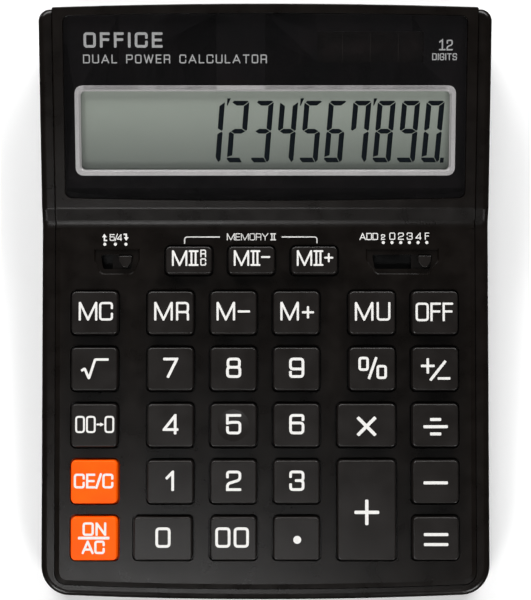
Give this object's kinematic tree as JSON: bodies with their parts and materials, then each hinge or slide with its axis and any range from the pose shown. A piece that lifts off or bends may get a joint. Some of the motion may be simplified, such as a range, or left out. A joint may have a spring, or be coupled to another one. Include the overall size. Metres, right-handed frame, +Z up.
{
  "type": "desk calculator",
  "caption": "Black battery and solar desk calculator with a sloping key deck, raised display hood, segment LCD, sprung push keys and slide switches.",
  "frame": {"origin": "centre of the footprint on the table, under the rubber feet", "axes": "+X to the user's right, +Y away from the user towards the display, +Z up"},
  "size_m": [0.155, 0.2026, 0.036],
  "materials": {
    "case_black": "black moulded ABS with a fine spark texture",
    "key_black": "dark grey-black moulded ABS keycaps, satin",
    "key_orange": "orange moulded ABS keycaps, satin",
    "lens_clear": "clear polished acrylic with a bevelled edge",
    "mask_black": "black printed film behind the lens",
    "frame_silver": "satin silver bezel",
    "lcd_grey": "reflective green-grey liquid crystal cell",
    "holder_black": "black moulded plastic",
    "zebra_rubber": "grey and black layered elastomer",
    "circuit_board": "green solder mask on laminate",
    "chip_epoxy": "black potting epoxy",
    "capacitor_sleeve": "dark blue shrink sleeve",
    "solar_dark": "dark amorphous cell behind glass",
    "wire_red": "red PVC insulation",
    "ribbon_grey": "grey ribbon cable",
    "dome_rubber": "grey silicone rubber",
    "cell_steel": "nickel-plated steel can",
    "contact_steel": "plated spring steel",
    "screw_steel": "zinc-plated steel",
    "foot_rubber": "soft black rubber",
    "legend_white": "white printing ink on the keys, deck and panel film",
    "segment_ink": "dark liquid crystal segments"
  },
  "bodies": {
    "housing": {"battery_cell": "cell_steel", "battery_contacts": "contact_steel", "battery_door": "case_black", "battery_door_screw": "screw_steel", "battery_wires": "wire_red", "board_screws": "screw_steel", "buffer_capacitor": "capacitor_sleeve", "case_screws": "screw_steel", "chip_blob": "chip_epoxy", "display_board": "circuit_board", "display_lens": "lens_clear", "display_mask": "mask_black", "dome_sheet": "dome_rubber", "flat_cable": "ribbon_grey", "key_board": "circuit_board", "lcd_frame": "frame_silver", "lcd_glass": "lcd_grey", "lcd_holder": "holder_black", "lower_case": "case_black", "rubber_feet": "foot_rubber", "solar_cell": "solar_dark", "solar_wires": "wire_red", "upper_cover": "case_black", "zebra_strip": "zebra_rubber"},
    "key_memory2_recall_clear_body": {"key_memory2_recall_clear": "key_black"},
    "key_memory2_minus_body": {"key_memory2_minus": "key_black"},
    "key_memory2_plus_body": {"key_memory2_plus": "key_black"},
    "key_memory_clear_body": {"key_memory_clear": "key_black"},
    "key_memory_recall_body": {"key_memory_recall": "key_black"},
    "key_memory_minus_body": {"key_memory_minus": "key_black"},
    "key_memory_plus_body": {"key_memory_plus": "key_black"},
    "key_markup_body": {"key_markup": "key_black"},
    "key_off_body": {"key_off": "key_black"},
    "key_square_root_body": {"key_square_root": "key_black"},
    "key_7_body": {"key_7": "key_black"},
    "key_8_body": {"key_8": "key_black"},
    "key_9_body": {"key_9": "key_black"},
    "key_percent_body": {"key_percent": "key_black"},
    "key_sign_change_body": {"key_sign_change": "key_black"},
    "key_backspace_body": {"key_backspace": "key_black"},
    "key_4_body": {"key_4": "key_black"},
    "key_5_body": {"key_5": "key_black"},
    "key_6_body": {"key_6": "key_black"},
    "key_multiply_body": {"key_multiply": "key_black"},
    "key_divide_body": {"key_divide": "key_black"},
    "key_clear_entry_body": {"key_clear_entry": "key_orange"},
    "key_1_body": {"key_1": "key_black"},
    "key_2_body": {"key_2": "key_black"},
    "key_3_body": {"key_3": "key_black"},
    "key_plus_body": {"key_plus": "key_black"},
    "key_minus_body": {"key_minus": "key_black"},
    "key_all_clear_body": {"key_all_clear": "key_orange"},
    "key_0_body": {"key_0": "key_black"},
    "key_00_body": {"key_00": "key_black"},
    "key_decimal_point_body": {"key_decimal_point": "key_black"},
    "key_equals_body": {"key_equals": "key_black"},
    "rounding_switch": {"rounding_switch_knob": "key_black", "rounding_switch_wiper": "contact_steel"},
    "decimal_switch": {"decimal_switch_knob": "key_black", "decimal_switch_wiper": "contact_steel"}
  },
  "joints": [
    {"name": "key_memory2_recall_clear_press", "type": "slide", "parent": "housing", "child": "key_memory2_recall_clear_body", "axis": [0, -0.0523, 0.9986], "range_m": [-0.0016, 0], "stiffness_N_per_m": 300, "springref_m": 0.0006, "deforming": ["dome_sheet"]},
    {"name": "key_memory2_minus_press", "type": "slide", "parent": "housing", "child": "key_memory2_minus_body", "axis": [0, -0.0523, 0.9986], "range_m": [-0.0016, 0], "stiffness_N_per_m": 300, "springref_m": 0.0006, "deforming": ["dome_sheet"]},
    {"name": "key_memory2_plus_press", "type": "slide", "parent": "housing", "child": "key_memory2_plus_body", "axis": [0, -0.0523, 0.9986], "range_m": [-0.0016, 0], "stiffness_N_per_m": 300, "springref_m": 0.0006, "deforming": ["dome_sheet"]},
    {"name": "key_memory_clear_press", "type": "slide", "parent": "housing", "child": "key_memory_clear_body", "axis": [0, -0.0523, 0.9986], "range_m": [-0.0016, 0], "stiffness_N_per_m": 300, "springref_m": 0.0006, "deforming": ["dome_sheet"]},
    {"name": "key_memory_recall_press", "type": "slide", "parent": "housing", "child": "key_memory_recall_body", "axis": [0, -0.0523, 0.9986], "range_m": [-0.0016, 0], "stiffness_N_per_m": 300, "springref_m": 0.0006, "deforming": ["dome_sheet"]},
    {"name": "key_memory_minus_press", "type": "slide", "parent": "housing", "child": "key_memory_minus_body", "axis": [0, -0.0523, 0.9986], "range_m": [-0.0016, 0], "stiffness_N_per_m": 300, "springref_m": 0.0006, "deforming": ["dome_sheet"]},
    {"name": "key_memory_plus_press", "type": "slide", "parent": "housing", "child": "key_memory_plus_body", "axis": [0, -0.0523, 0.9986], "range_m": [-0.0016, 0], "stiffness_N_per_m": 300, "springref_m": 0.0006, "deforming": ["dome_sheet"]},
    {"name": "key_markup_press", "type": "slide", "parent": "housing", "child": "key_markup_body", "axis": [0, -0.0523, 0.9986], "range_m": [-0.0016, 0], "stiffness_N_per_m": 300, "springref_m": 0.0006, "deforming": ["dome_sheet"]},
    {"name": "key_off_press", "type": "slide", "parent": "housing", "child": "key_off_body", "axis": [0, -0.0523, 0.9986], "range_m": [-0.0016, 0], "stiffness_N_per_m": 300, "springref_m": 0.0006, "deforming": ["dome_sheet"]},
    {"name": "key_square_root_press", "type": "slide", "parent": "housing", "child": "key_square_root_body", "axis": [0, -0.0523, 0.9986], "range_m": [-0.0016, 0], "stiffness_N_per_m": 300, "springref_m": 0.0006, "deforming": ["dome_sheet"]},
    {"name": "key_7_press", "type": "slide", "parent": "housing", "child": "key_7_body", "axis": [0, -0.0523, 0.9986], "range_m": [-0.0016, 0], "stiffness_N_per_m": 300, "springref_m": 0.0006, "deforming": ["dome_sheet"]},
    {"name": "key_8_press", "type": "slide", "parent": "housing", "child": "key_8_body", "axis": [0, -0.0523, 0.9986], "range_m": [-0.0016, 0], "stiffness_N_per_m": 300, "springref_m": 0.0006, "deforming": ["dome_sheet"]},
    {"name": "key_9_press", "type": "slide", "parent": "housing", "child": "key_9_body", "axis": [0, -0.0523, 0.9986], "range_m": [-0.0016, 0], "stiffness_N_per_m": 300, "springref_m": 0.0006, "deforming": ["dome_sheet"]},
    {"name": "key_percent_press", "type": "slide", "parent": "housing", "child": "key_percent_body", "axis": [0, -0.0523, 0.9986], "range_m": [-0.0016, 0], "stiffness_N_per_m": 300, "springref_m": 0.0006, "deforming": ["dome_sheet"]},
    {"name": "key_sign_change_press", "type": "slide", "parent": "housing", "child": "key_sign_change_body", "axis": [0, -0.0523, 0.9986], "range_m": [-0.0016, 0], "stiffness_N_per_m": 300, "springref_m": 0.0006, "deforming": ["dome_sheet"]},
    {"name": "key_backspace_press", "type": "slide", "parent": "housing", "child": "key_backspace_body", "axis": [0, -0.0523, 0.9986], "range_m": [-0.0016, 0], "stiffness_N_per_m": 300, "springref_m": 0.0006, "deforming": ["dome_sheet"]},
    {"name": "key_4_press", "type": "slide", "parent": "housing", "child": "key_4_body", "axis": [0, -0.0523, 0.9986], "range_m": [-0.0016, 0], "stiffness_N_per_m": 300, "springref_m": 0.0006, "deforming": ["dome_sheet"]},
    {"name": "key_5_press", "type": "slide", "parent": "housing", "child": "key_5_body", "axis": [0, -0.0523, 0.9986], "range_m": [-0.0016, 0], "stiffness_N_per_m": 300, "springref_m": 0.0006, "deforming": ["dome_sheet"]},
    {"name": "key_6_press", "type": "slide", "parent": "housing", "child": "key_6_body", "axis": [0, -0.0523, 0.9986], "range_m": [-0.0016, 0], "stiffness_N_per_m": 300, "springref_m": 0.0006, "deforming": ["dome_sheet"]},
    {"name": "key_multiply_press", "type": "slide", "parent": "housing", "child": "key_multiply_body", "axis": [0, -0.0523, 0.9986], "range_m": [-0.0016, 0], "stiffness_N_per_m": 300, "springref_m": 0.0006, "deforming": ["dome_sheet"]},
    {"name": "key_divide_press", "type": "slide", "parent": "housing", "child": "key_divide_body", "axis": [0, -0.0523, 0.9986], "range_m": [-0.0016, 0], "stiffness_N_per_m": 300, "springref_m": 0.0006, "deforming": ["dome_sheet"]},
    {"name": "key_clear_entry_press", "type": "slide", "parent": "housing", "child": "key_clear_entry_body", "axis": [0, -0.0523, 0.9986], "range_m": [-0.0016, 0], "stiffness_N_per_m": 300, "springref_m": 0.0006, "deforming": ["dome_sheet"]},
    {"name": "key_1_press", "type": "slide", "parent": "housing", "child": "key_1_body", "axis": [0, -0.0523, 0.9986], "range_m": [-0.0016, 0], "stiffness_N_per_m": 300, "springref_m": 0.0006, "deforming": ["dome_sheet"]},
    {"name": "key_2_press", "type": "slide", "parent": "housing", "child": "key_2_body", "axis": [0, -0.0523, 0.9986], "range_m": [-0.0016, 0], "stiffness_N_per_m": 300, "springref_m": 0.0006, "deforming": ["dome_sheet"]},
    {"name": "key_3_press", "type": "slide", "parent": "housing", "child": "key_3_body", "axis": [0, -0.0523, 0.9986], "range_m": [-0.0016, 0], "stiffness_N_per_m": 300, "springref_m": 0.0006, "deforming": ["dome_sheet"]},
    {"name": "key_plus_press", "type": "slide", "parent": "housing", "child": "key_plus_body", "axis": [0, -0.0523, 0.9986], "range_m": [-0.0016, 0], "stiffness_N_per_m": 300, "springref_m": 0.0006, "deforming": ["dome_sheet"]},
    {"name": "key_minus_press", "type": "slide", "parent": "housing", "child": "key_minus_body", "axis": [0, -0.0523, 0.9986], "range_m": [-0.0016, 0], "stiffness_N_per_m": 300, "springref_m": 0.0006, "deforming": ["dome_sheet"]},
    {"name": "key_all_clear_press", "type": "slide", "parent": "housing", "child": "key_all_clear_body", "axis": [0, -0.0523, 0.9986], "range_m": [-0.0016, 0], "stiffness_N_per_m": 300, "springref_m": 0.0006, "deforming": ["dome_sheet"]},
    {"name": "key_0_press", "type": "slide", "parent": "housing", "child": "key_0_body", "axis": [0, -0.0523, 0.9986], "range_m": [-0.0016, 0], "stiffness_N_per_m": 300, "springref_m": 0.0006, "deforming": ["dome_sheet"]},
    {"name": "key_00_press", "type": "slide", "parent": "housing", "child": "key_00_body", "axis": [0, -0.0523, 0.9986], "range_m": [-0.0016, 0], "stiffness_N_per_m": 300, "springref_m": 0.0006, "deforming": ["dome_sheet"]},
    {"name": "key_decimal_point_press", "type": "slide", "parent": "housing", "child": "key_decimal_point_body", "axis": [0, -0.0523, 0.9986], "range_m": [-0.0016, 0], "stiffness_N_per_m": 300, "springref_m": 0.0006, "deforming": ["dome_sheet"]},
    {"name": "key_equals_press", "type": "slide", "parent": "housing", "child": "key_equals_body", "axis": [0, -0.0523, 0.9986], "range_m": [-0.0016, 0], "stiffness_N_per_m": 300, "springref_m": 0.0006, "deforming": ["dome_sheet"]},
    {"name": "rounding_switch_slide", "type": "slide", "parent": "housing", "child": "rounding_switch", "axis": [1, 0, 0], "range_m": [-0.0058, 0]},
    {"name": "decimal_switch_slide", "type": "slide", "parent": "housing", "child": "decimal_switch", "axis": [1, 0, 0], "range_m": [-0.015, 0]}
  ]
}
